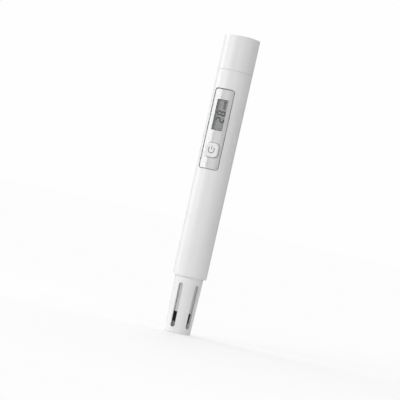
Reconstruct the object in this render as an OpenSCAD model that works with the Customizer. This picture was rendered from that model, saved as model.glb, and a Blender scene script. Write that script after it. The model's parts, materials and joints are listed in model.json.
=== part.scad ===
// TDS meter pen: a round handheld water tester. A display and a power key sit in a flat-bottomed
// pocket on its front, a battery cap pulls off its top, and a slotted guard surrounds its probe.
// The pen stands on the guard's rim with its axis along +Z, and the display faces -Y.
// Depths named _d are distances from the axis towards the front.

/* [Body] */
// Length from the guard's rim to the cap's flat end
pen_len = 153.5; // [148:0.5:160]
// Diameter of the housing's long bore
bore_d = 13.8; // [13.4:0.1:14]
// Wall of the housing at its lower end
shell_wall = 1.8; // [1.7:0.05:2.1]
// Width of the step from the housing in to the guard
step_w = 1.45; // [1.35:0.05:1.6]
// Bevel on the housing's and the cap's outside edges
rim_bevel = 0.05; // [0.05:0.05:0.4]

/* [Battery cap] */
// Length of the battery cap
cap_len = 18; // [16.8:0.1:20]
// Wall of the cap at its flat end
cap_wall = 1.8; // [1.6:0.05:2.2]
// Rounding of the cap's top edge
top_edge = 0.6; // [0.2:0.1:1.2]
// Thickness of the cap's end wall
roof_t = 1.5; // [1:0.1:2.5]
// Gap that shows as the seam under the cap
seam_gap = 0.06; // [0.06:0.02:0.3]
// Radial clearance of the cap on the neck
cap_fit = 0.1; // [0.06:0.02:0.2]

/* [Battery bay] */
// Diameter of one button cell
cell_d = 11.6; // [11:0.1:12]
// Height of one button cell
cell_h = 5.4; // [5:0.1:5.6]
// Radial clearance round the cells
cell_fit = 0.1; // [0.05:0.05:0.2]
// Wall of the battery sleeve
sleeve_wall = 1.25; // [1.1:0.05:1.4]
// Length of the sleeve's neck above the seam
neck_len = 10; // [9:0.5:11]
// Depth of the upper cell below the neck's rim
rim_drop = 1; // [0.8:0.1:1.4]
// Height of the compressed battery spring
spring_h = 2.5; // [2:0.1:3]
// Diameter of the spring's wire
spring_wire = 0.5; // [0.3:0.05:0.6]
// Thickness of the sleeve's floor
floor_t = 1.2; // [0.8:0.1:1.5]
// Length of the sleeve's skirt below its floor
skirt_len = 3; // [2:0.1:3.4]
// Thickness of the stamped contacts
contact_t = 0.25; // [0.15:0.05:0.3]
// Width of the return contact
contact_w = 2.4; // [1.6:0.2:3.2]

/* [Front panel] */
// Width of the panel
panel_w = 10.2; // [9.8:0.1:10.5]
// Corner radius of the panel
panel_corner = 1.2; // [0.8:0.1:3]
// Gap round the panel
panel_gap = 0.35; // [0.1:0.05:0.4]
// Crown of the panel across its width
panel_crown = 0.5; // [0.2:0.05:0.8]
// Thickness of the panel at its side edges
panel_t = 1; // [0.8:0.05:1.2]
// Distance from the seam down to the panel's top edge
panel_drop = 10.1; // [9.6:0.1:13]
// Thickness of the adhesive under the panel
tape_t = 0.15; // [0.1:0.05:0.25]
// Thickness of the housing's deck behind the panel
deck_t = 1; // [0.8:0.1:1.3]

/* [Display] */
// Width of the display window
window_w = 6.1; // [5:0.1:6.4]
// Length of the display window
window_l = 15.9; // [12:0.1:16.5]
// Corner radius of the display window
window_corner = 0.5; // [0.2:0.1:1]
// Distance from the panel's top edge to the window's top edge
window_drop = 5.2; // [4:0.1:6.5]
// Thickness of the panel's lip in front of the lens's flange
window_lip = 0.4; // [0.3:0.05:0.6]
// Width of the lens's flange behind that lip
lens_flange = 1; // [0.5:0.1:1.2]
// Border of the display glass beyond the window
lcd_border = 0.9; // [0.8:0.1:1]
// Thickness of the display glass
lcd_t = 2; // [1.6:0.1:2.2]

/* [Power key] */
// Width and height of the key
key_w = 7.5; // [6.2:0.1:7.8]
// Corner radius of the key
key_corner = 2.2; // [1.2:0.1:2.8]
// Height of the key's face above the panel
key_rise = 0.8; // [0.5:0.1:1.2]
// Clearance round the key
key_gap = 0.15; // [0.1:0.05:0.25]
// Distance from the window's lower edge down to the key's centre
key_space = 10.2; // [9:0.1:13]
// Distance from the key's centre down to the panel's lower edge
key_foot = 9.5; // [8.5:0.1:10.5]
// Width of the lip that keeps the key in
key_lip = 0.6; // [0.4:0.05:0.7]
// Travel of the key when it is pressed
key_travel = 0.4; // [0.2:0.05:0.45]

/* [Circuit] */
// Distance of the board's front face from the axis
board_d = 2; // [1.6:0.1:2.2]
// Thickness of the board
board_t = 1; // [0.8:0.1:1.6]
// Width of the switch's square body
switch_w = 6; // [4.5:0.1:6.4]
// Wall of the inner chassis
chassis_wall = 1.2; // [0.8:0.1:1.5]

/* [Probe] */
// Length of the guard below the housing
guard_len = 29; // [26:0.5:34]
// Narrowing of the guard's radius from the housing down to its rim
guard_taper = 0.55; // [0.3:0.05:0.8]
// Wall of the guard
guard_wall = 0.85; // [0.8:0.05:1.2]
// Rounding of the guard's rim
guard_edge = 0.3; // [0.1:0.05:0.5]
// Length of the guard's collar inside the housing
collar_len = 6; // [4:0.5:8]
// Number of slots in the guard
slot_n = 5; // [3:1:6]
// Turn of the guard about the axis: the front slot's angle from the display
slot_turn = -5; // [-20:1:20]
// Width of a slot
slot_w = 2.5; // [1.2:0.1:2.8]
// Distance of the slots' lower ends from the rim
slot_low = 2.8; // [2:0.1:4]
// Distance of the slots' upper ends from the housing
slot_high = 3.5; // [2:0.1:5]
// Height of the carrier's core above the rim
core_low = 10.7; // [9:0.1:13]
// Height of the electrode seal's face above the rim
seal_low = 5.6; // [4.5:0.1:7]
// Wall of the core round the electrode seal
seal_wall = 1.2; // [1:0.1:1.8]
// Height of the electrode tips above the rim
pin_low = 2.6; // [1.5:0.1:3.5]
// Diameter of an electrode
pin_d = 1.6; // [1:0.1:2]
// Distance between the electrodes' centres
pin_pitch = 4.4; // [3.6:0.1:5]

/* [Hidden] */
$fn = 64;

shell_white = [0.93, 0.93, 0.93];
part_white = [0.88, 0.88, 0.87];
rubber_black = [0.06, 0.06, 0.06];
steel = [0.72, 0.72, 0.72];
gold = [0.83, 0.68, 0.35];

// Clearances: fit is between pieces that plug together, and touch between pieces that meet.
fit = 0.05;
touch = 0.02;
// Reach of a cutting shape past the faces that it opens.
past = 1;

// Heights along the pen.
z_seam = pen_len - cap_len;
z_cap0 = z_seam + seam_gap;
z_roof = pen_len - roof_t;
z_neck = z_seam + neck_len;
z_cell_top = z_neck - rim_drop;
z_cell_low = z_cell_top - 2 * cell_h;
z_floor = z_cell_low - spring_h;
z_floor0 = z_floor - floor_t;
z_sleeve0 = z_floor0 - skirt_len;
panel_l = window_drop + window_l + key_space + key_foot;
z_panel1 = z_seam - panel_drop;
z_panel0 = z_panel1 - panel_l;
z_panel = (z_panel0 + z_panel1) / 2;
z_window = z_panel1 - window_drop - window_l / 2;
z_key = z_panel0 + key_foot;
z_collar1 = guard_len + collar_len;

// Radii round the axis.
bore_r = bore_d / 2;
cell_r = cell_d / 2;
bay_r = cell_r + cell_fit;
sleeve_r = bay_r + sleeve_wall;
cap_bore_r = sleeve_r + cap_fit;
top_r = cap_bore_r + cap_wall;
step_r = bore_r + shell_wall;
guard_top_r = step_r - step_w;
guard_tip_r = guard_top_r - guard_taper;
socket_r = guard_top_r + fit;

// Carrier: a flange seats against the end of the housing's socket, and a plug enters the bore.
flange_t = 3;
plug_len = 6;
z_socket = z_collar1 + flange_t;
z_plug1 = z_socket + plug_len;
core_gap = 0.2;
core_r = guard_in_r(core_low) - core_gap;
seal_seat = 3;
seal_r = core_r - seal_wall - fit;
pin_r = pin_d / 2;
pin_y = -0.8;
sensor_y = 1.9;
sensor_r = 0.9;
pin_top = z_plug1 + 1.2;
lead_r = 0.3;

// Depths towards the front, from the panel's face inwards. Its side edges lie flush with the round shell.
pocket_w = panel_w + 2 * panel_gap;
pocket_l = panel_l + 2 * panel_gap;
pocket_corner = panel_corner + panel_gap;
panel_d = sqrt(pow(shell_r(z_panel0), 2) - pow(pocket_w / 2, 2));
panel_apex_d = panel_d + panel_crown;
panel_back_d = panel_d - panel_t;
pocket_d = panel_back_d - tape_t;
deck_d = pocket_d - deck_t;
lcd_face_d = pocket_d - 0.1;
lcd_back_d = lcd_face_d - lcd_t;
holder_d = deck_d - 0.1;
crown_r = (pow(panel_w / 2, 2) + pow(panel_crown, 2)) / (2 * panel_crown);
flange_d = panel_apex_d - crown_r + sqrt(pow(crown_r, 2) - pow(window_w / 2, 2)) - window_lip;

// Display glass and its holder.
lcd_w = window_w + 2 * lcd_border;
lcd_l = window_l + 2 * lcd_border;
lcd_gap = 0.15;
opening_w = lcd_w + 2 * lcd_gap;
opening_l = lcd_l + 2 * lcd_gap;
opening_corner = 0.4;
film_t = 0.08;
holder_wall = 0.9;
ledge_l = 1.4;
strip_w = 1.1;

// Key and switch, stacked from the panel's back down to the board.
lip_w = key_w + 2 * key_lip;
lip_corner = key_corner + key_lip;
key_hole_w = lip_w + 2 * key_gap;
key_face_d = panel_apex_d + key_rise;
lip_d = panel_back_d - fit;
lip_t = 0.9;
key_edge = 0.6;
stem_len = 0.3;
stem_r = 1.7;
plunger_r = 1.6;
plunger_rise = 0.6;
plunger_d = lip_d - lip_t - stem_len - touch;
switch_d = plunger_d - plunger_rise;
switch_floor = 0.3;

// Board and chassis.
board_back_d = board_d - board_t;
board_gap = 0.2;
board_w = 2 * (sqrt(pow(bore_r, 2) - pow(board_d, 2)) - board_gap);
z_board0 = z_plug1 + 4;
z_board1 = z_sleeve0 - 1.5;
chassis_r = bore_r - 0.1;
z_tab = z_sleeve0 - 0.8;
z_chassis1 = z_tab - 0.3;
screw_r = 0.6;
screw_head_r = 1.5;
screw_head_h = 1;
screw_len = 4;
cross_w = 0.3;
cross_t = 0.4;
boss_r = 1.8;
rib_t = 1.2;

// Parts on the board's lower stretch, each at a share of the length between its end and the switch.
stretch_l = z_key - switch_w / 2 - z_board0;
function on_stretch(share) = z_board0 + share * stretch_l;
chip_z = on_stretch(0.52);
screw_zs = [on_stretch(0.24), on_stretch(0.85)];
chip_r = 3;
chip_h = 1.1;
part_size = [1.6, 0.7, 0.8];
part_x = 4;
crystal_size = [2, 1.2, 4];
crystal_x = 1.2;

// Seals: a ring fills the space between its groove and the bore round it.
groove_w = 1.3;
seal_gap = 0.06;
neck_groove_r = sleeve_r - 0.6;
plug_groove_r = bore_r - 0.9;

function shell_r(z) = step_r + (top_r - step_r) * (z - guard_len) / (pen_len - guard_len);
function guard_r(z) = guard_tip_r + (guard_top_r - guard_tip_r) * z / guard_len;
function guard_in_r(z) = guard_r(z) - guard_wall;
function arc(c, r, from, to, steps = 6) =
    [for (i = [0:steps]) let (a = from + (to - from) * i / steps) c + r * [cos(a), sin(a)]];
function unit(v) = v / norm(v);
function tangent(p, i) = unit(p[min(i + 1, len(p) - 1)] - p[max(i - 1, 0)]);
function across(v, t) = unit(v - t * (v * t));
function sides_of(p) = [for (i = 0, s = across([0.3, 1, 0.2], tangent(p, 0)); i < len(p);
    s = across(s, tangent(p, min(i + 1, len(p) - 1))), i = i + 1) s];
function bezier(a, b, c, d, steps) = [for (i = [0:steps]) let (t = i / steps, u = 1 - t)
    u * u * u * a + 3 * u * u * t * b + 3 * u * t * t * c + t * t * t * d];

// A wire of radius r along the points of p.
module wire(p, r, sides = 8) {
    s = sides_of(p);
    points = [for (i = [0:len(p) - 1]) let (t = tangent(p, i), n = cross(t, s[i]))
        for (k = [0:sides - 1]) p[i] + r * (cos(360 * k / sides) * s[i] + sin(360 * k / sides) * n)];
    walls = [for (i = [0:len(p) - 2]) for (k = [0:sides - 1]) let (m = (k + 1) % sides)
        each [[i * sides + k, (i + 1) * sides + k, i * sides + m],
            [i * sides + m, (i + 1) * sides + k, (i + 1) * sides + m]]];
    start = [for (k = [0:sides - 1]) k];
    end = [for (k = [sides - 1:-1:0]) (len(p) - 1) * sides + k];
    polyhedron(points, concat([start], walls, [end]));
}

module round_rect(w, l, r) {
    square([w - 2 * r, l], center = true);
    square([w, l - 2 * r], center = true);
    for (x = [-1, 1], y = [-1, 1]) translate([x * (w / 2 - r), y * (l / 2 - r)]) circle(r);
}

// Draws a flat outline, width across and height up, at depth d and height z, and gives it a thickness
// towards the front.
module at_front(d, z, t) {
    translate([0, -d, z]) rotate([90, 0, 0]) linear_extrude(t) children();
}

module ring_seal(groove_r, wall_r, z) {
    section_r = (wall_r - groove_r) / 2 - seal_gap;
    translate([0, 0, z]) rotate_extrude() translate([(wall_r + groove_r) / 2, 0]) circle(section_r);
}

// The crowned space under the panel's face.
module under_crown() {
    translate([0, crown_r - panel_apex_d, z_panel0 - past])
        cylinder(r = crown_r, h = panel_l + 2 * past, $fn = 360);
}

module housing() {
    color(shell_white) difference() {
        union() {
            rotate_extrude() polygon([
                [socket_r, guard_len],
                [shell_r(guard_len) - rim_bevel, guard_len],
                [shell_r(guard_len + rim_bevel), guard_len + rim_bevel],
                [shell_r(z_seam - rim_bevel), z_seam - rim_bevel],
                [shell_r(z_seam) - rim_bevel, z_seam],
                [sleeve_r + fit, z_seam],
                [sleeve_r + fit, z_sleeve0],
                [bore_r, z_sleeve0],
                [bore_r, z_socket],
                [socket_r, z_socket]]);
            deck();
        }
        at_front(pocket_d, z_panel, past + top_r) round_rect(pocket_w, pocket_l, pocket_corner);
        at_front(deck_d - past, z_window, deck_t + 2 * past) round_rect(opening_w, opening_l, opening_corner);
        at_front(deck_d - past, z_key, deck_t + 2 * past)
            round_rect(key_hole_w, key_hole_w, lip_corner + key_gap);
    }
}

// Flat wall across the bore behind the pocket.
module deck() {
    z0 = z_panel0 - panel_gap - 2;
    intersection() {
        translate([0, 0, z0]) cylinder(r = bore_r + 2 * fit, h = z_sleeve0 - z0);
        translate([-bore_r, -bore_r - past, z0]) cube([2 * bore_r, bore_r + past - deck_d, z_sleeve0 - z0]);
    }
}

module front_panel() {
    color(shell_white) difference() {
        intersection() {
            at_front(panel_back_d, z_panel, panel_t + panel_crown + past)
                round_rect(panel_w, panel_l, panel_corner);
            under_crown();
        }
        at_front(panel_back_d - past, z_window, panel_t + panel_crown + 2 * past)
            round_rect(window_w, window_l, window_corner);
        at_front(panel_back_d - past, z_window, flange_d - panel_back_d + past) lens_outline(lens_flange);
        at_front(panel_back_d - past, z_key, panel_t + panel_crown + 2 * past)
            round_rect(key_w + 2 * key_gap, key_w + 2 * key_gap, key_corner + key_gap);
    }
}

module panel_tape() {
    inset = 0.1;
    color("gray") difference() {
        at_front(pocket_d, z_panel, tape_t)
            round_rect(panel_w - 2 * inset, panel_l - 2 * inset, panel_corner - inset);
        at_front(pocket_d - past, z_window, tape_t + 2 * past)
            round_rect(opening_w, opening_l, opening_corner);
        at_front(pocket_d - past, z_key, tape_t + 2 * past)
            round_rect(key_hole_w, key_hole_w, lip_corner + key_gap);
    }
}

// Outline of the window, grown by a border.
module lens_outline(border) {
    round_rect(window_w + 2 * border, window_l + 2 * border, window_corner + border);
}

// Lens with a flange: it goes in from behind, and its face continues the panel's crown.
module display_lens() {
    color([0.85, 0.9, 0.92, 0.4]) {
        intersection() {
            at_front(panel_back_d, z_window, panel_t + panel_crown + past) lens_outline(-touch);
            under_crown();
        }
        at_front(panel_back_d, z_window, flange_d - panel_back_d - touch) lens_outline(lens_flange - touch);
    }
}

// Two glass plates: the rear one is longer, and its ledge carries the contacts.
module lcd_cell() {
    plate_t = (lcd_t - film_t) / 2;
    color([0.6, 0.62, 0.57]) translate([0, -lcd_back_d, z_window - lcd_l / 2]) {
        translate([-lcd_w / 2, -plate_t, 0]) cube([lcd_w, plate_t, lcd_l]);
        translate([-lcd_w / 2, -2 * plate_t, ledge_l]) cube([lcd_w, plate_t, lcd_l - ledge_l]);
    }
}

module lcd_film() {
    inset = 0.2;
    color([0.55, 0.57, 0.52]) translate([inset - lcd_w / 2, -lcd_face_d, z_window - lcd_l / 2 + ledge_l])
        cube([lcd_w - 2 * inset, film_t, lcd_l - ledge_l - inset]);
}

// Frame that holds the display glass over the board, with two ledges under the glass's long edges.
module lcd_holder() {
    holder_w = lcd_w + 2 * holder_wall;
    holder_l = lcd_l + 2 * holder_wall;
    inner_w = lcd_w - 2 * (strip_w + 0.6);
    color(part_white) difference() {
        at_front(board_d, z_window, holder_d - board_d) square([holder_w, holder_l], center = true);
        at_front(lcd_back_d, z_window, holder_d) square([opening_w - lcd_gap, opening_l - lcd_gap], center = true);
        at_front(board_d - past, z_window, holder_d) square([inner_w, lcd_l - 2 * strip_w], center = true);
        for (s = [-1, 1]) strip_slot(s, strip_w + 2 * fit);
    }
}

module strip_slot(s, w) {
    translate([s * (lcd_w / 2 - strip_w / 2 - 0.3), 0, 0]) at_front(board_d - past, z_window, lcd_t + board_d)
        square([w, lcd_l - 2 * strip_w], center = true);
}

// Rubber connectors that join the glass to the board.
module contact_strips() {
    color([0.25, 0.25, 0.27]) intersection() {
        for (s = [-1, 1]) strip_slot(s, strip_w);
        at_front(board_d, z_window, lcd_back_d - board_d)
            square([lcd_w, lcd_l - 2 * strip_w - 2 * fit], center = true);
    }
}

module circuit_board() {
    color([0.1, 0.42, 0.25]) difference() {
        translate([-board_w / 2, -board_d, z_board0]) cube([board_w, board_t, z_board1 - z_board0]);
        for (z = screw_zs) at_front(board_back_d - past, z, board_t + 2 * past) circle(screw_r + 0.2);
    }
}

module controller_chip() {
    color(rubber_black) translate([0, -board_d, chip_z]) rotate([90, 0, 0]) rotate_extrude()
        polygon(concat([[0, 0]], [for (a = [0:15:90]) [chip_r * cos(a), chip_h * sin(a)]]));
}

// Resistors and capacitors in two rows, and a crystal on the board's back.
module board_parts() {
    color([0.75, 0.68, 0.5]) for (s = [-1, 1], share = [0.2, 0.35, 0.5, 0.65])
        translate([s * part_x - part_size[0] / 2, -board_d - part_size[1], on_stretch(share)]) cube(part_size);
    color(steel) translate([crystal_x, -board_back_d, chip_z - crystal_size[2] / 2]) cube(crystal_size);
}

module switch_body() {
    color([0.15, 0.15, 0.15]) difference() {
        at_front(board_d, z_key, switch_d - board_d) square(switch_w, center = true);
        at_front(board_d + switch_floor, z_key, switch_d) circle(plunger_r + fit);
    }
}

module switch_plunger() {
    base_d = board_d + switch_floor + key_travel + 0.1;
    color([0.75, 0.72, 0.65]) at_front(base_d, z_key, plunger_d - base_d) circle(plunger_r);
}

// Half-round tray behind the board, with ribs and screw bosses.
module inner_chassis() {
    rib_zs = [on_stretch(0.3), z_window - lcd_l / 2, z_window + lcd_l / 2];
    color(part_white) difference() {
        union() {
            intersection() {
                difference() {
                    translate([0, 0, z_plug1]) cylinder(r = chassis_r, h = z_chassis1 - z_plug1);
                    translate([0, 0, z_plug1 - past])
                        cylinder(r = chassis_r - chassis_wall, h = z_chassis1 - z_plug1 + 2 * past);
                }
                behind_board();
            }
            for (z = rib_zs) intersection() {
                translate([0, 0, z - rib_t / 2]) cylinder(r = chassis_r - chassis_wall / 2, h = rib_t);
                behind_board();
            }
            for (z = screw_zs) translate([0, chassis_r - chassis_wall / 2, z]) rotate([90, 0, 0])
                cylinder(r = boss_r, h = chassis_r - chassis_wall / 2 + board_back_d);
        }
        for (z = screw_zs) translate([0, screw_len - board_d + 0.5, z]) rotate([90, 0, 0])
            cylinder(r = screw_r + fit, h = screw_len + past);
    }
}

module behind_board() {
    translate([-bore_r, -board_back_d, z_plug1 - past]) cube([2 * bore_r, 2 * bore_r, z_sleeve0 - z_plug1]);
}

module board_screws() {
    color(steel) for (z = screw_zs) translate([0, -board_d, z]) rotate([90, 0, 0]) difference() {
        union() {
            translate([0, 0, -screw_len]) cylinder(r = screw_r, h = screw_len + screw_head_h / 2);
            cylinder(r1 = screw_head_r, r2 = screw_head_r * 0.8, h = screw_head_h);
        }
        for (a = [0, 90]) rotate(a) translate([0, 0, screw_head_h - cross_t]) linear_extrude(past)
            square([screw_head_r * 1.4, cross_w], center = true);
    }
}

// Tube for the cells. Its neck stands out of the housing, carries a seal and takes the cap.
module battery_sleeve() {
    groove_z = z_seam + 2;
    color(part_white) difference() {
        rotate_extrude() polygon([
            [sleeve_r - 1, z_sleeve0],
            [sleeve_r, z_sleeve0],
            [sleeve_r, groove_z],
            [neck_groove_r, groove_z],
            [neck_groove_r, groove_z + groove_w],
            [sleeve_r, groove_z + groove_w],
            [sleeve_r, z_neck - 0.4],
            [sleeve_r - 0.4, z_neck],
            [bay_r, z_neck],
            [bay_r, z_floor],
            [0, z_floor],
            [0, z_floor0],
            [sleeve_r - 1, z_floor0]]);
        translate([-contact_w / 2 - fit, 0, z_sleeve0 - past])
            cube([contact_w + 2 * fit, bay_r + contact_t + 2 * fit, z_neck - z_sleeve0 + 2 * past]);
        spring_tail_hole();
    }
}

module neck_seal() {
    color(rubber_black) ring_seal(neck_groove_r, cap_bore_r, z_seam + 2 + groove_w / 2);
}

// A button cell: a can, a groove round its edge and a raised lid.
module cell(z) {
    lid_h = 0.3;
    lid_r = cell_r - 1.2;
    edge = 0.3;
    translate([0, 0, z]) rotate_extrude() polygon([
        [0, touch],
        [cell_r - edge, touch],
        [cell_r, edge],
        [cell_r, cell_h - lid_h - edge],
        [cell_r - edge, cell_h - lid_h],
        [lid_r, cell_h - lid_h],
        [lid_r, cell_h],
        [0, cell_h]]);
}

module lower_cell() {
    color(steel) cell(z_cell_low);
}

module upper_cell() {
    color(steel) cell(z_cell_low + cell_h);
}

// Cone-shaped coil under the cells. Its tail drops through the floor to the board.
spring_low_r = bay_r - 1.3;
spring_top_r = bay_r - 3;
spring_turns = 2.5;
spring_steps = 40;
spring_gap = spring_wire / 2 + touch;
tail_r = spring_wire / 2;
tail_y = -board_d - tail_r - touch;

function coil_point(i) = let (
    t = i / spring_steps,
    r = spring_low_r + (spring_top_r - spring_low_r) * t,
    a = 270 + 360 * spring_turns * t)
    [r * cos(a), r * sin(a), z_floor + spring_gap + (spring_h - 2 * spring_gap) * t];

module battery_spring() {
    tail_z = z_board1 - 1.5;
    tail = bezier([0, tail_y, tail_z], [0, tail_y, z_sleeve0 + 1],
        [0, -spring_low_r, z_sleeve0 + 1], [0, -spring_low_r, z_floor0], 8);
    bend = [[0, -spring_low_r, z_floor - 0.2]];
    color(gold) wire(concat(tail, bend, [for (i = [0:spring_steps]) coil_point(i)]), spring_wire / 2);
}

module spring_tail_hole() {
    hole_w = spring_wire + 0.6;
    translate([-hole_w / 2, -spring_low_r - hole_w / 2, z_floor0 - past])
        cube([hole_w, hole_w, floor_t + 2 * past]);
}

// Strip from the neck's rim down the bay's wall and over to the back of the board.
module return_contact() {
    strip_y = bay_r + fit;
    solder_l = 2.5;
    color(gold) translate([-contact_w / 2, 0, 0]) {
        translate([0, strip_y, z_tab]) cube([contact_w, contact_t, z_neck - z_tab]);
        translate([0, -board_back_d, z_tab]) cube([contact_w, strip_y + board_back_d + contact_t, contact_t]);
        translate([0, -board_back_d, z_board1 - solder_l])
            cube([contact_w, contact_t, z_tab - z_board1 + solder_l + contact_t]);
    }
}

module cap_shell() {
    edge_z = pen_len - top_edge;
    color(shell_white) rotate_extrude() polygon(concat(
        [[cap_bore_r, z_roof],
            [cap_bore_r, z_cap0],
            [shell_r(z_cap0) - rim_bevel, z_cap0],
            [shell_r(z_cap0 + rim_bevel), z_cap0 + rim_bevel]],
        arc([shell_r(edge_z) - top_edge, edge_z], top_edge, 0, 90),
        [[0, pen_len], [0, z_roof]]));
}

// Heights in the cap: the contact's brim lies over the neck's rim, and its cup reaches the upper cell.
z_brim = z_neck + fit;
z_cup = z_cell_top + fit;
cup_r = bay_r - 0.9;

module cap_contact() {
    color(gold) rotate_extrude() polygon([
        [0, z_cup],
        [cup_r, z_cup],
        [cup_r, z_brim],
        [sleeve_r - 0.3, z_brim],
        [sleeve_r - 0.3, z_brim + contact_t],
        [cup_r - contact_t, z_brim + contact_t],
        [cup_r - contact_t, z_cup + contact_t],
        [0, z_cup + contact_t]]);
}

// Spool that holds the contact in the cap.
module cap_insert() {
    disc_t = 1.2;
    post_r = 3;
    z_disc = z_brim + contact_t;
    color(part_white) rotate_extrude() polygon([
        [0, z_cup + contact_t],
        [cup_r - contact_t - fit, z_cup + contact_t],
        [cup_r - contact_t - fit, z_disc],
        [cap_bore_r - fit, z_disc],
        [cap_bore_r - fit, z_disc + disc_t],
        [post_r, z_disc + disc_t],
        [post_r, z_roof],
        [0, z_roof]]);
}

// Key: a rounded pillow above the panel, a lip under it and a short stem that meets the plunger.
module button_cap() {
    shoulder_d = key_face_d - key_edge;
    place = key_w / 2 - key_corner;
    color(shell_white) {
        hull() for (x = [-place, place], z = [-place, place])
            translate([x, -lip_d, z_key + z]) rotate([90, 0, 0]) rotate_extrude($fn = 32)
                polygon(concat([[0, 0], [key_corner, 0]],
                    arc([key_corner - key_edge, shoulder_d - lip_d], key_edge, 0, 90, 5),
                    [[0, key_face_d - lip_d]]));
        at_front(lip_d - lip_t, z_key, lip_t) round_rect(lip_w, lip_w, lip_corner);
        at_front(lip_d - lip_t - stem_len, z_key, stem_len + lip_t / 2) circle(stem_r);
    }
}

// Moulding that carries the electrodes: a core inside the guard, a flange and a sealed plug.
module probe_carrier() {
    stem_r = guard_in_r(guard_len) - fit;
    groove_z = z_socket + (plug_len - groove_w) / 2;
    color(part_white) difference() {
        rotate_extrude() polygon([
            [0, core_low],
            [core_r - 0.3, core_low],
            [core_r, core_low + 0.3],
            [guard_in_r(guard_len) - core_gap, guard_len],
            [stem_r, guard_len],
            [stem_r, z_collar1],
            [socket_r - fit, z_collar1],
            [socket_r - fit, z_socket],
            [bore_r - fit, z_socket],
            [bore_r - fit, groove_z],
            [plug_groove_r, groove_z],
            [plug_groove_r, groove_z + groove_w],
            [bore_r - fit, groove_z + groove_w],
            [bore_r - fit, z_plug1],
            [0, z_plug1]]);
        translate([0, 0, core_low - past]) cylinder(r = seal_r + fit, h = seal_seat + past);
        probe_bores(core_low, z_plug1);
    }
}

// Bores for the electrodes and the temperature sensor.
module probe_bores(z0, z1) {
    for (x = [-1, 1]) translate([x * pin_pitch / 2, pin_y, z0 - past])
        cylinder(r = pin_r + fit, h = z1 - z0 + 2 * past);
    translate([0, sensor_y, z0 - past]) cylinder(r = sensor_r + fit, h = z1 - z0 + 2 * past);
}

module carrier_seal() {
    color(rubber_black) ring_seal(plug_groove_r, bore_r, z_socket + plug_len / 2);
}

module electrode_seal() {
    bevel = 0.3;
    z1 = core_low + seal_seat;
    color(rubber_black) difference() {
        rotate_extrude() polygon([
            [0, seal_low],
            [seal_r - bevel, seal_low],
            [seal_r, seal_low + bevel],
            [seal_r, z1],
            [0, z1]]);
        probe_bores(seal_low, z1);
    }
}

// A rod with a rounded lower end.
module rod(r, z0, z1) {
    rotate_extrude() polygon(concat(arc([0, z0 + r], r, 270, 360), [[r, z1], [0, z1]]));
}

module electrode_pins() {
    color(steel) for (x = [-1, 1]) translate([x * pin_pitch / 2, pin_y, 0]) rod(pin_r, pin_low, pin_top);
}

module temperature_sensor() {
    color(steel) translate([0, sensor_y, 0]) rod(sensor_r, pin_low - 0.2, pin_top - 0.4);
}

// Wires from the electrodes and the sensor to the board's lower end.
module sensor_leads() {
    land_y = -board_d - lead_r - touch;
    land_z = z_board0 + 2;
    color([0.7, 0.2, 0.15]) for (s = [-1, 1]) {
        lead([s * pin_pitch / 2, pin_y, pin_top + touch], [s * pin_pitch / 2, land_y, land_z]);
        lead([s * (lead_r + 0.1), sensor_y, pin_top - 0.4 + touch], [s * (lead_r + 0.3), land_y, land_z]);
    }
}

module lead(from, to) {
    rise = [0, 0, 1.6];
    wire(concat(bezier(from, from + rise, [to[0], to[1], z_board0 - rise[2]], [to[0], to[1], z_board0], 8),
        [to]), lead_r);
}

module probe_guard() {
    slot_l = guard_len - slot_high - slot_low;
    slot_z = slot_low + slot_l / 2;
    color(shell_white) difference() {
        rotate_extrude() polygon(concat(
            [[guard_in_r(guard_len), z_collar1],
                [guard_in_r(guard_len), guard_len],
                [guard_in_r(0), 0]],
            arc([guard_r(guard_edge) - guard_edge, guard_edge], guard_edge, 270, 360),
            [[guard_top_r, guard_len], [guard_top_r, z_collar1]]));
        for (i = [0:slot_n - 1]) rotate([0, 0, slot_turn + 360 * i / slot_n])
            at_front(guard_in_r(0) - past, slot_z, guard_wall + guard_top_r)
                round_rect(slot_w, slot_l, slot_w / 2 - touch / 10);
    }
}

housing();
front_panel();
panel_tape();
display_lens();
lcd_cell();
lcd_film();
lcd_holder();
contact_strips();
circuit_board();
controller_chip();
board_parts();
switch_body();
inner_chassis();
board_screws();
battery_sleeve();
neck_seal();
lower_cell();
upper_cell();
battery_spring();
return_contact();
probe_carrier();
carrier_seal();
electrode_seal();
electrode_pins();
temperature_sensor();
sensor_leads();
probe_guard();
button_cap();
switch_plunger();
cap_shell();
cap_insert();
cap_contact();
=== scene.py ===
import json
import math
import bpy
import bmesh
from mathutils import Matrix, Vector


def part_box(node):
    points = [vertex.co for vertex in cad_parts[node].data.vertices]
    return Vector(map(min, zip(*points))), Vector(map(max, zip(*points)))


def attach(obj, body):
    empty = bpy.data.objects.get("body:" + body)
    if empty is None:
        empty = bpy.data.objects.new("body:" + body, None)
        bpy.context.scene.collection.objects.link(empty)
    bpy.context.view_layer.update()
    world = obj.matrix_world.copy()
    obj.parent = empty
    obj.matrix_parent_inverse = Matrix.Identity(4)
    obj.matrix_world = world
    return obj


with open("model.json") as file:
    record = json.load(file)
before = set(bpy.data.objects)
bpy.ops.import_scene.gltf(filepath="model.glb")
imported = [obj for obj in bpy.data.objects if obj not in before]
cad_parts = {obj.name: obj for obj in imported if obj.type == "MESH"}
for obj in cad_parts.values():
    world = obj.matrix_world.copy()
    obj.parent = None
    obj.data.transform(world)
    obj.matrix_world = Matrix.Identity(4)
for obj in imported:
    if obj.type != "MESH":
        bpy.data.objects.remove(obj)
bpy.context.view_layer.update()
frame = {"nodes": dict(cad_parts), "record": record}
scene = bpy.context.scene

# A handheld water tester. The CAD's solids get their finish here, and the display and the key their print.
# The frame is in metres. Sizes of the print and of surface relief are in mm, which MM turns into metres.
MM = 0.001


# Node helpers for the materials

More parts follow.
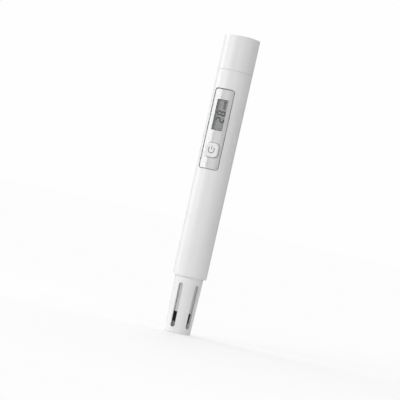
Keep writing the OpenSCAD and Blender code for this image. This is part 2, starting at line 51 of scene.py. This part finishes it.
def empty_material(name):
    """A material with only its output. Returns the material, its tree and the socket of its surface."""
    material = bpy.data.materials.new(name)
    material.use_nodes = True
    tree = material.node_tree
    tree.nodes.clear()
    output = tree.nodes.new("ShaderNodeOutputMaterial")
    return material, tree, output.inputs["Surface"]


def solid_material(name):
    """A material with one opaque shader. Returns the material, its tree and the shader."""
    material, tree, surface = empty_material(name)
    shader = tree.nodes.new("ShaderNodeBsdfPrincipled")
    tree.links.new(shader.outputs["BSDF"], surface)
    return material, tree, shader


def coords(tree, scale=(1, 1, 1)):
    """The object's own coordinates in metres, each multiplied by its scale."""
    source = tree.nodes.new("ShaderNodeTexCoord")
    mapping = tree.nodes.new("ShaderNodeMapping")
    mapping.inputs["Scale"].default_value = scale
    tree.links.new(source.outputs["Object"], mapping.inputs["Vector"])
    return mapping.outputs["Vector"]


def noise(tree, place, scale, detail=3, rough=0.5):
    """Noise from 0 to 1, with scale in waves per metre."""
    node = tree.nodes.new("ShaderNodeTexNoise")
    node.inputs["Scale"].default_value = scale
    node.inputs["Detail"].default_value = detail
    node.inputs["Roughness"].default_value = rough
    tree.links.new(place, node.inputs["Vector"])
    return node.outputs["Fac"]


def colour_span(tree, value, low, high, start=0.3, end=0.7):
    """A colour that goes from low to high while the value goes from start to end."""
    node = tree.nodes.new("ShaderNodeValToRGB")
    first, last = node.color_ramp.elements
    first.position, last.position = start, end
    first.color, last.color = (*low, 1), (*high, 1)
    tree.links.new(value, node.inputs["Fac"])
    return node.outputs["Color"]


def span(tree, value, low, high, start=0.3, end=0.7):
    """A number that goes from low to high while the value goes from start to end."""
    node = tree.nodes.new("ShaderNodeMapRange")
    node.inputs["From Min"].default_value = start
    node.inputs["From Max"].default_value = end
    node.inputs["To Min"].default_value = low
    node.inputs["To Max"].default_value = high
    tree.links.new(value, node.inputs["Value"])
    return node.outputs["Result"]


def bump(tree, shader, height, depth, strength, under=None):
    """Relief of a depth in mm on the shader, on top of the normals of an earlier one if that is given."""
    node = tree.nodes.new("ShaderNodeBump")
    node.inputs["Strength"].default_value = strength
    node.inputs["Distance"].default_value = depth * MM
    tree.links.new(height, node.inputs["Height"])
    if under is not None:
        tree.links.new(under, node.inputs["Normal"])
    tree.links.new(node.outputs["Normal"], shader.inputs["Normal"])
    return node.outputs["Normal"]


def multiply(tree, one, other):
    """The product of two colours."""
    node = tree.nodes.new("ShaderNodeMix")
    node.data_type = "RGBA"
    node.blend_type = "MULTIPLY"
    node.inputs["Factor"].default_value = 1
    tree.links.new(one, node.inputs["A"])
    tree.links.new(other, node.inputs["B"])
    return node.outputs["Result"]


def blend(tree, share, first, second):
    """A mix of two shaders: all first where the share is 0, and all second where it is 1."""
    node = tree.nodes.new("ShaderNodeMixShader")
    for source, socket in zip((share, first, second), node.inputs):
        tree.links.new(source, socket)
    return node.outputs["Shader"]


def grey(value):
    return (value, value, value)


def shade(colour, factor):
    return tuple(min(1.0, part * factor) for part in colour)


# Materials

# Painted shade in narrow gaps: how far it looks for nearby walls, in mm, and with how many rays.
GAP_SHADE_REACH = 0.6
GAP_SHADE_SAMPLES = 16


def gap_shade(tree, tone):
    """White in the open, and down to the tone at the bottom of a gap: painted shade where the gap's walls
    hold off the light.
    """
    node = tree.nodes.new("ShaderNodeAmbientOcclusion")
    node.samples = GAP_SHADE_SAMPLES
    node.inputs["Distance"].default_value = GAP_SHADE_REACH * MM
    return colour_span(tree, node.outputs["AO"], grey(tone), grey(1), end=0.8)


def moulded(name, colour, rough, grain=2600, depth=0.004, vary=0.02, ior=1.46, gap_shade_tone=1.0):
    """Moulded plastic: fine grain on a slow wave, with slow changes of tone and of gloss.

    Grain is in waves per metre, and depth is the grain's. The last argument, below 1, paints shade into
    narrow gaps, down to that tone.
    """
    material, tree, shader = solid_material(name)
    place = coords(tree)
    cloud = noise(tree, place, scale=70, detail=2)
    tone = colour_span(tree, cloud, shade(colour, 1 - vary), shade(colour, 1 + vary * 0.4))
    # Painted shade: narrow gaps are darkened towards the gap tone.
    if gap_shade_tone < 1:
        tone = multiply(tree, tone, gap_shade(tree, gap_shade_tone))
    tree.links.new(tone, shader.inputs["Base Color"])
    gloss = noise(tree, place, scale=420, detail=4)
    tree.links.new(span(tree, gloss, rough - 0.025, rough + 0.035), shader.inputs["Roughness"])
    fine = noise(tree, place, grain, rough=0.55)
    wave = noise(tree, place, scale=160, detail=1)
    waved = bump(tree, shader, wave, depth=0.03, strength=0.25)
    bump(tree, shader, fine, depth, strength=0.5, under=waved)
    shader.inputs["IOR"].default_value = ior
    return material


def metal(name, colour, rough, squeeze, scale=900, depth=0.002, aniso=0.0):
    """Metal with fine drawn or turned lines, which run long where the squeeze is lowest."""
    material, tree, shader = solid_material(name)
    lines = noise(tree, coords(tree, squeeze), scale, detail=5, rough=0.6)
    tone = colour_span(tree, lines, shade(colour, 0.88), shade(colour, 1.06), start=0.25, end=0.75)
    tree.links.new(tone, shader.inputs["Base Color"])
    tree.links.new(span(tree, lines, rough - 0.05, rough + 0.08), shader.inputs["Roughness"])
    shader.inputs["Metallic"].default_value = 1.0
    shader.inputs["Anisotropic"].default_value = aniso
    bump(tree, shader, lines, depth, strength=0.4)
    return material


def soft_rubber(name, colour, rough=0.6):
    """Dull rubber or tape with a little pale dust."""
    material, tree, shader = solid_material(name)
    place = coords(tree)
    dust = noise(tree, place, scale=900, detail=6, rough=0.65)
    tone = colour_span(tree, dust, colour, shade(colour, 1.6), start=0.35, end=0.8)
    tree.links.new(tone, shader.inputs["Base Color"])
    wear = noise(tree, place, scale=300)
    tree.links.new(span(tree, wear, rough - 0.08, rough + 0.08), shader.inputs["Roughness"])
    bump(tree, shader, dust, depth=0.008, strength=0.6)
    return material


def clear(name, tint, haze=0.22, ior=1.38):
    """Clear plastic: light goes straight through, and only its surface shines."""
    material, tree, surface = empty_material(name)
    place = coords(tree)
    through = tree.nodes.new("ShaderNodeBsdfTransparent")
    cloud = noise(tree, place, scale=120, detail=2)
    tree.links.new(colour_span(tree, cloud, shade(tint, 0.99), tint), through.inputs["Color"])
    shine = tree.nodes.new("ShaderNodeBsdfGlossy")
    smear = noise(tree, place, scale=500)
    tree.links.new(span(tree, smear, haze, haze + 0.04), shine.inputs["Roughness"])
    fresnel = tree.nodes.new("ShaderNodeFresnel")
    fresnel.inputs["IOR"].default_value = ior
    mixed = blend(tree, fresnel.outputs["Fac"], through.outputs["BSDF"], shine.outputs["BSDF"])
    tree.links.new(mixed, surface)
    return material


def board_green(name):
    """Lacquered circuit board with the tracks showing faintly through the green."""
    material, tree, shader = solid_material(name)
    place = coords(tree)
    tracks = tree.nodes.new("ShaderNodeTexBrick")
    tracks.inputs["Scale"].default_value = 320
    tracks.inputs["Mortar Size"].default_value = 0.03
    tracks.inputs["Color1"].default_value = (0.012, 0.13, 0.05, 1)
    tracks.inputs["Color2"].default_value = (0.015, 0.155, 0.06, 1)
    tracks.inputs["Mortar"].default_value = (0.03, 0.26, 0.1, 1)
    tree.links.new(place, tracks.inputs["Vector"])
    tree.links.new(tracks.outputs["Color"], shader.inputs["Base Color"])
    gloss = noise(tree, place, scale=500)
    tree.links.new(span(tree, gloss, 0.25, 0.38), shader.inputs["Roughness"])
    bump(tree, shader, tracks.outputs["Fac"], depth=0.02, strength=0.5)
    return material


def lcd_face(name, dark, light):
    """The display's grey-green face with a faint mottling between two colours."""
    material, tree, shader = solid_material(name)
    place = coords(tree)
    mottle = noise(tree, place, scale=1500, detail=4, rough=0.6)
    tree.links.new(colour_span(tree, mottle, dark, light), shader.inputs["Base Color"])
    gloss = noise(tree, place, scale=300, detail=2)
    tree.links.new(span(tree, gloss, 0.5, 0.6), shader.inputs["Roughness"])
    bump(tree, shader, mottle, depth=0.003, strength=0.3)
    return material


# One material for each of the record's slots
WHITE = grey(0.8)
MATERIALS = {
    # The shell and the panel get painted shade in their narrow gaps, down to 0.3.
    "shell": moulded("shell_white", WHITE, 0.36, ior=1.5, gap_shade_tone=0.3),
    "panel": moulded("panel_white", grey(0.58), 0.125, grain=1800, depth=0.001, ior=1.65, gap_shade_tone=0.3),
    "key": moulded("key_white", WHITE, 0.2, ior=1.5),
    "guard": moulded("guard_white", grey(0.79), 0.4, ior=1.5),
    "clear_window": clear("window_clear", (0.96, 0.97, 0.97)),
    "lcd_glass": moulded("lcd_glass", (0.28, 0.29, 0.26), 0.15, vary=0.04),
    "lcd_film": lcd_face("lcd_face", (0.36, 0.36, 0.345), (0.38, 0.38, 0.365)),
    "white_moulding": moulded("inner_white", (0.72, 0.72, 0.71), 0.5, grain=1500, depth=0.01, vary=0.04),
    "grey_moulding": moulded("carrier_white", grey(0.55), 0.45, grain=1500, depth=0.008, vary=0.05),
    "tape": soft_rubber("tape_grey", grey(0.16), 0.7),
    "conductive_rubber": soft_rubber("strip_rubber", (0.05, 0.05, 0.055)),
    "circuit_board": board_green("board_green"),
    "chip_coating": moulded("chip_black", (0.012, 0.012, 0.014), 0.25, grain=700, depth=0.03, vary=0.3),
    "components": moulded("component_tan", (0.45, 0.37, 0.24), 0.4, grain=3000, depth=0.006, vary=0.15),
    "switch_black": moulded("switch_black", grey(0.014), 0.4, vary=0.3),
    "plunger": moulded("plunger_cream", (0.5, 0.46, 0.37), 0.45, vary=0.06),
    "steel": metal("screw_steel", (0.62, 0.62, 0.61), 0.3, (1, 6, 1)),
    "cell_steel": metal("cell_steel", (0.3, 0.3, 0.297), 0.4, (1, 1, 0.1), scale=1200, aniso=0.3),
    "electrode": metal("electrode_steel", (0.7, 0.7, 0.69), 0.2, (1, 1, 0.12),
                       scale=1500, depth=0.001, aniso=0.2),
    "contact": metal("contact_gold", (0.83, 0.63, 0.27), 0.26, (1, 0.2, 1), scale=1000),
    "seal_rubber": soft_rubber("seal_rubber", grey(0.012)),
    "electrode_seat": soft_rubber("seat_dark", (0.022, 0.022, 0.024), 0.5),
    "wire": moulded("wire_red", (0.34, 0.02, 0.015), 0.38, vary=0.08),
}
for subpart in frame["record"]["subparts"]:
    solid = frame["nodes"][subpart["node"]]
    solid.data.materials.clear()
    solid.data.materials.append(MATERIALS[subpart["material_slot"]])


# Pieces made here

def mesh_object(name, bm, material, body):
    """Turns the bmesh into a piece with the given material, which moves with a body."""
    mesh = bpy.data.meshes.new(name)
    bm.normal_update()
    bm.to_mesh(mesh)
    bm.free()
    mesh.materials.append(material)
    o = bpy.data.objects.new(name, mesh)
    scene.collection.objects.link(o)
    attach(o, body)


def prism(bm, outline, front_y, back_y):
    """A closed plate with the outline's (x, z) points, from front_y back to back_y, all in mm."""
    area = sum(outline[i - 1][0] * p[1] - p[0] * outline[i - 1][1] for i, p in enumerate(outline))
    points = outline if area > 0 else outline[::-1]
    front = [bm.verts.new((x * MM, front_y * MM, z * MM)) for x, z in points]
    back = [bm.verts.new((x * MM, back_y * MM, z * MM)) for x, z in points]
    bm.faces.new(front)
    bm.faces.new(back[::-1])
    for i in range(len(points)):
        j = (i + 1) % len(points)
        bm.faces.new((front[j], front[i], back[i], back[j]))


lens_lo, lens_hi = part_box("display_lens")
key_lo, key_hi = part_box("button_cap")
window_top = lens_hi.z / MM
window_length = (lens_hi.z - lens_lo.z) / MM
film_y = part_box("lcd_film")[0].y / MM
key_face_y = key_lo.y / MM
key_z = (key_lo.z + key_hi.z) / 2 / MM

# Print on the display. It lies in front of the film, with the ink a little further out than the ghost.
INK_LIFT, GHOST_LIFT, PRINT_THICKNESS = 0.05, 0.03, 0.02
ink_y, ghost_y = film_y - INK_LIFT, film_y - GHOST_LIFT

# The digits read along the pen: u runs towards the cap, and v runs left from FOOT_X, to the digits' tops.
# A bar ends BAR_GAP short of its corners, and LEAN_BACK moves a digit back because its top leans forward.
DIGIT_H, DIGIT_W, BAR, SLANT = 5.0, 2.5, 0.74, 0.08
FOOT_X, BAR_GAP, LEAN_BACK = 2.45, 0.05, 0.1
LIT = {"2": "abged", "8": "abcdefg"}
UNLIT_IN_2 = "cf"

# The middle of each digit and the start of the unit mark, as shares of the window down from its top
DIGIT_2, DIGIT_8, DIGIT_UNLIT, UNIT = 0.615, 0.425, 0.895, 0.32

# The unit mark: plain blocks in a row, which lean as the digits do
BLOCKS, BLOCK_PITCH, BLOCK_FOOT = 3, 1.35, 0.9
BLOCK_W, BLOCK_H, BLOCK_LEAN = 1.2, 1.3, 0.1


def to_panel(u, v):
    """The (x, z) point of a place on the display."""
    return (FOOT_X - v, u)


def bar_outline(start, end):
    """A display bar with pointed ends between two (u, v) points."""
    along = (end - start).normalized()
    side = Vector((-along.y, along.x)) * BAR / 2
    start, end = start + along * BAR_GAP, end - along * BAR_GAP
    taper = along * BAR / 2
    return [start, start + taper + side, end - taper + side,
            end, end - taper - side, start + taper - side]


def digit_bars(share):
    """The two ends of each bar of a digit, by the bar's usual letter from a to g."""
    u0 = window_top - share * window_length - DIGIT_W / 2 - LEAN_BACK
    w, h = DIGIT_W - BAR, DIGIT_H - BAR
    corners = {"bl": (0, 0), "br": (w, 0), "ml": (0, h / 2), "mr": (w, h / 2), "tl": (0, h), "tr": (w, h)}
    at = {corner: Vector((u0 + x + y * SLANT, y + BAR / 2)) for corner, (x, y) in corners.items()}
    ends = {"a": "tl tr", "b": "tr mr", "c": "mr br", "d": "bl br",
            "e": "ml bl", "f": "tl ml", "g": "ml mr"}
    return {letter: [at[corner] for corner in pair.split()] for letter, pair in ends.items()}


def add_digit(bm, share, letters, y):
    """The named bars of a digit, with its middle at a share of the window and its front at a depth."""
    for letter, (start, end) in digit_bars(share).items():
        if letter in letters:
            outline = [to_panel(u, v) for u, v in bar_outline(start, end)]
            prism(bm, outline, y, y + PRINT_THICKNESS)


def display_digits():
    ink = moulded("lcd_ink", (0.012, 0.013, 0.012), 0.7, vary=0.1)
    bm = bmesh.new()
    add_digit(bm, DIGIT_2, LIT["2"], ink_y)
    add_digit(bm, DIGIT_8, LIT["8"], ink_y)
    mesh_object("display_digits", bm, ink, "pen")


def display_unit():
    faint = moulded("lcd_faint", (0.08, 0.082, 0.078), 0.5, vary=0.1)
    corners = ((0, 0), (BLOCK_W, 0), (BLOCK_W + BLOCK_LEAN, BLOCK_H), (BLOCK_LEAN, BLOCK_H))
    bm = bmesh.new()
    for k in range(BLOCKS):
        u = window_top - UNIT * window_length + k * BLOCK_PITCH
        outline = [to_panel(u + a, BLOCK_FOOT + b) for a, b in corners]
        prism(bm, outline, ink_y, ink_y + PRINT_THICKNESS)
    mesh_object("display_unit", bm, faint, "pen")


def display_ghost():
    """The unlit bars, which show faintly: a whole digit before the 2, and what the 2 leaves out."""
    ghost = moulded("lcd_ghost", (0.315, 0.317, 0.303), 0.5, vary=0.03)
    bm = bmesh.new()
    add_digit(bm, DIGIT_UNLIT, LIT["8"], ghost_y)
    add_digit(bm, DIGIT_2, UNLIT_IN_2, ghost_y)
    mesh_object("display_ghost", bm, ghost, "pen")


# Power symbol on the key: a ring that is open towards the cap for RING_OPENING degrees, and a stem in it.
# The ring's middle is RING_RAISE above the key's, and the stem's ends are measured from the key's middle.
RING_INNER, RING_OUTER, RING_RAISE = 1.4, 1.84, 0.1
RING_OPENING, RING_STEPS = 84, 40
STEM_W, STEM_FROM, STEM_TO = 0.36, 0.05, 2.2
SYMBOL_PROUD, SYMBOL_SUNK = 0.012, 0.05


def power_symbol():
    symbol_grey = moulded("symbol_grey", (0.2, 0.2, 0.205), 0.45, vary=0.06)
    first = math.radians(90 + RING_OPENING / 2)
    turn = math.radians(360 - RING_OPENING)
    arc = [first + turn * i / RING_STEPS for i in range(RING_STEPS + 1)]
    ring_z = key_z + RING_RAISE
    outer = [(RING_OUTER * math.cos(a), ring_z + RING_OUTER * math.sin(a)) for a in arc]
    inner = [(RING_INNER * math.cos(a), ring_z + RING_INNER * math.sin(a)) for a in arc]
    side, low, high = STEM_W / 2, key_z + STEM_FROM, key_z + STEM_TO
    stem = [(-side, low), (side, low), (side, high), (-side, high)]
    bm = bmesh.new()
    for outline in (outer + inner[::-1], stem):
        prism(bm, outline, key_face_y - SYMBOL_PROUD, key_face_y + SYMBOL_SUNK)
    mesh_object("power_symbol", bm, symbol_grey, "power_button")


display_digits()
display_unit()
display_ghost()
power_symbol()


# Camera: the photograph's viewing angle, with a frame of 400 x 400 pixels. Distances are in metres.

PEN_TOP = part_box("cap_shell")[1].z
AZ, EL, ROLL = math.radians(23.5), math.radians(-0.775), math.radians(12.618)
CAMERA_DIST = 0.85
FRAME_PX, PX_PER_M = 400, 1966.0
MIDDLE_PX = (210.04, 185.08)
SENSOR_MM = 36
NEAR, FAR = 0.01, 50
centre = Vector((0, 0, PEN_TOP / 2))


def direction(azimuth, elevation):
    """The unit vector away from the pen at two angles. Azimuth 0 is -Y, the front, and 90 degrees is +X."""
    level = math.cos(elevation)
    return Vector((math.sin(azimuth) * level, -math.cos(azimuth) * level, math.sin(elevation)))


def add_camera():
    """A camera that sees the pen's middle at MIDDLE_PX, counted from the frame's upper left corner."""
    outward = direction(AZ, EL)
    right = Vector((math.cos(AZ), math.sin(AZ), 0))
    up = outward.cross(right)
    cam_right = right * math.cos(ROLL) + up * math.sin(ROLL)
    cam_up = up * math.cos(ROLL) - right * math.sin(ROLL)
    px_right = MIDDLE_PX[0] - FRAME_PX / 2
    px_up = FRAME_PX / 2 - MIDDLE_PX[1]
    aim = centre - cam_right * px_right / PX_PER_M - cam_up * px_up / PX_PER_M
    eye = centre + outward * CAMERA_DIST
    z_axis = (eye - aim).normalized()
    x_axis = (cam_right - z_axis * cam_right.dot(z_axis)).normalized()
    y_axis = z_axis.cross(x_axis)
    turned = Matrix((x_axis, y_axis, z_axis)).transposed().to_4x4()
    data = bpy.data.cameras.new("camera")
    data.sensor_width = SENSOR_MM
    data.lens = PX_PER_M * CAMERA_DIST / FRAME_PX * SENSOR_MM
    data.clip_start = NEAR
    data.clip_end = FAR
    camera = bpy.data.objects.new("camera", data)
    camera.matrix_world = Matrix.Translation(eye) @ turned
    scene.collection.objects.link(camera)
    scene.camera = camera


add_camera()


# Floor and world

FLOOR_RADIUS, FLOOR_SIDES = 6.0, 96
FLOOR_SEEN, FLOOR_LIT = 0.98, 0.3
WORLD_SEEN, WORLD_LIT = 0.99, 0.2

# The glow's share of the floor grows from GLOW_NEAR to GLOW_FAR, from FADE_START to FADE_END out
GLOW_NEAR, GLOW_FAR = 0.45, 1
FADE_START, FADE_END = 0.02, 0.25


def white_light(tree, kind, strength):
    """White light from an emission or a background node."""
    node = tree.nodes.new(kind)
    node.inputs["Color"].default_value = (1, 1, 1, 1)
    node.inputs["Strength"].default_value = strength
    return node.outputs[0]


def seen_and_lit(tree, kind, seen, lit):
    """White light that has one strength in the picture and another where it falls on the pen."""
    path = tree.nodes.new("ShaderNodeLightPath")
    shows, falls = white_light(tree, kind, seen), white_light(tree, kind, lit)
    return blend(tree, path.outputs["Is Camera Ray"], falls, shows)


def floor_pale():
    """Pale and plain from above, and clear from below, so that the pen's underside shows."""
    material, tree, surface = empty_material("floor_pale")
    matt = tree.nodes.new("ShaderNodeBsdfPrincipled")
    matt.inputs["Base Color"].default_value = (0.86, 0.86, 0.86, 1)
    matt.inputs["Roughness"].default_value = 0.7
    glow = seen_and_lit(tree, "ShaderNodeEmission", FLOOR_SEEN, FLOOR_LIT)
    geometry = tree.nodes.new("ShaderNodeNewGeometry")
    distance = tree.nodes.new("ShaderNodeVectorMath")
    distance.operation = "LENGTH"
    tree.links.new(geometry.outputs["Position"], distance.inputs[0])
    fade = span(tree, distance.outputs["Value"], GLOW_NEAR, GLOW_FAR, FADE_START, FADE_END)
    above = blend(tree, fade, matt.outputs["BSDF"], glow)
    below = tree.nodes.new("ShaderNodeBsdfTransparent")
    tree.links.new(blend(tree, geometry.outputs["Backfacing"], above, below.outputs["BSDF"]), surface)
    return material


def add_floor():
    bm = bmesh.new()
    bmesh.ops.create_circle(bm, cap_ends=True, radius=FLOOR_RADIUS, segments=FLOOR_SIDES)
    mesh = bpy.data.meshes.new("floor")
    bm.to_mesh(mesh)
    bm.free()
    mesh.materials.append(floor_pale())
    o = bpy.data.objects.new("floor", mesh)
    scene.collection.objects.link(o)


def add_world():
    world = bpy.data.worlds.new("studio")
    scene.world = world
    world.use_nodes = True
    tree = world.node_tree
    tree.nodes.clear()
    output = tree.nodes.new("ShaderNodeOutputWorld")
    background = seen_and_lit(tree, "ShaderNodeBackground", WORLD_SEEN, WORLD_LIT)
    tree.links.new(background, output.inputs["Surface"])


add_floor()
add_world()


# Lights: softboxes round the pen. The standing ones and the hanging ones span these elevations.

BOX_DIST = 1.0
STANDING, HANGING = (-4, 28), (22, 68)


def softbox(name, azimuths, elevations, radiance):
    """A flat lit panel BOX_DIST from the pen's middle, which fills these angles in degrees.

    Azimuths run from left to right, with 0 at the camera, and elevations from low to high.
    """
    left, right = azimuths
    low, high = elevations
    data = bpy.data.lights.new(name, "AREA")
    data.shape = "RECTANGLE"
    data.size = 2 * BOX_DIST * math.tan(math.radians(right - left) / 2)
    data.size_y = 2 * BOX_DIST * math.tan(math.radians(high - low) / 2)
    data.energy = math.pi * radiance * data.size * data.size_y
    outward = direction(AZ + math.radians(left + right) / 2, math.radians(low + high) / 2)
    box = bpy.data.objects.new(name, data)
    box.location = centre + outward * BOX_DIST
    box.rotation_euler = outward.to_track_quat("Z", "Y").to_euler()
    scene.collection.objects.link(box)


softbox("side_left", (-126, -90), STANDING, 3.0)
softbox("front_left", (-70, -53), STANDING, 6.4)
softbox("fill_left", (-49, -33), STANDING, 2.1)
softbox("front", (-12, 32), STANDING, 2.05)
softbox("front_right", (50, 65), STANDING, 3.3)
softbox("back_left", (-180, -110), HANGING, 2.0)
softbox("back_right", (110, 180), HANGING, 1.2)

scene.view_settings.view_transform = "Standard"
scene.view_settings.look = "None"
scene.view_settings.exposure = 0
scene.view_settings.gamma = 1
